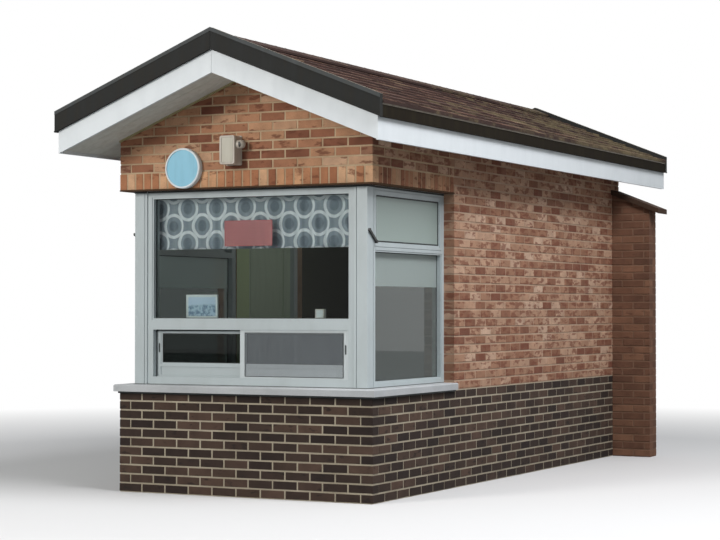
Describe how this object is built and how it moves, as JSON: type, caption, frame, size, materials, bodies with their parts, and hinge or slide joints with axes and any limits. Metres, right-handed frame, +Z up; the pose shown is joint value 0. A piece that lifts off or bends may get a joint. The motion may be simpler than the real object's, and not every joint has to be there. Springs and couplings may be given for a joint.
{
  "type": "security guard booth",
  "caption": "Brick security guard booth with a low gable roof, a glazed front bay with sliding windows, hinged side windows and a side door.",
  "frame": {"origin": "centre of the plan at ground level, under the middle of the roof's outline", "axes": "+X to the right seen from the front, +Y from the front gable to the rear wall, +Z up"},
  "size_m": [3.05, 6.22, 3.3676],
  "materials": {
    "brick_orange": "rough",
    "brick_pink": "rough",
    "brick_dark": "rough",
    "stone": "honed",
    "concrete": "rough",
    "window_frame": "satin",
    "glass": "clear",
    "frosted_glass": "frosted",
    "curtain": "printed cotton",
    "metal": "brushed",
    "red_plastic": "gloss",
    "white_plastic": "satin",
    "blue_plastic": "satin",
    "door_paint": "satin",
    "white_board": "painted",
    "soffit_board": "painted",
    "roof_core": "rough",
    "shingle": "mineral granules",
    "black_trim": "matt"
  },
  "bodies": {
    "root": {"floor_slab": "concrete", "front_low_wall": "brick_dark", "side_low_walls": "brick_dark", "right_wall": "brick_pink", "left_wall_front": "brick_pink", "left_wall_rear": "brick_pink", "left_wall_head": "brick_pink", "rear_wall": "brick_pink", "gable_wall": "brick_orange", "front_lintel": "brick_orange", "side_lintels": "brick_orange", "window_sill": "stone", "corner_posts": "window_frame", "front_frame": "window_frame", "front_pane": "glass", "left_sash": "window_frame", "left_sash_glass": "glass", "right_sash": "window_frame", "right_sash_glass": "glass", "side_frames": "window_frame", "awning_sashes": "window_frame", "awning_glass": "frosted_glass", "side_panes": "glass", "awning_stays": "metal", "valance": "curtain", "curtain_rod": "metal", "notice_board": "white_plastic", "red_plate": "red_plastic", "sill_box": "white_plastic", "door_frame": "window_frame", "door_leaf": "door_paint", "door_handle": "metal", "soffit_boards": "soffit_board", "roof_slab_right": "roof_core", "roof_slab_left": "roof_core", "shingles_right": "shingle", "shingles_left": "shingle", "ridge_cap": "shingle", "fascia_boards": "white_board", "barge_boards": "white_board", "verge_trims": "black_trim", "eave_trims": "black_trim", "disc_rim": "white_plastic", "disc_face": "blue_plastic", "wall_lamp": "white_plastic", "wing_walls": "brick_dark", "wing_caps": "black_trim"}
  },
  "joints": []
}
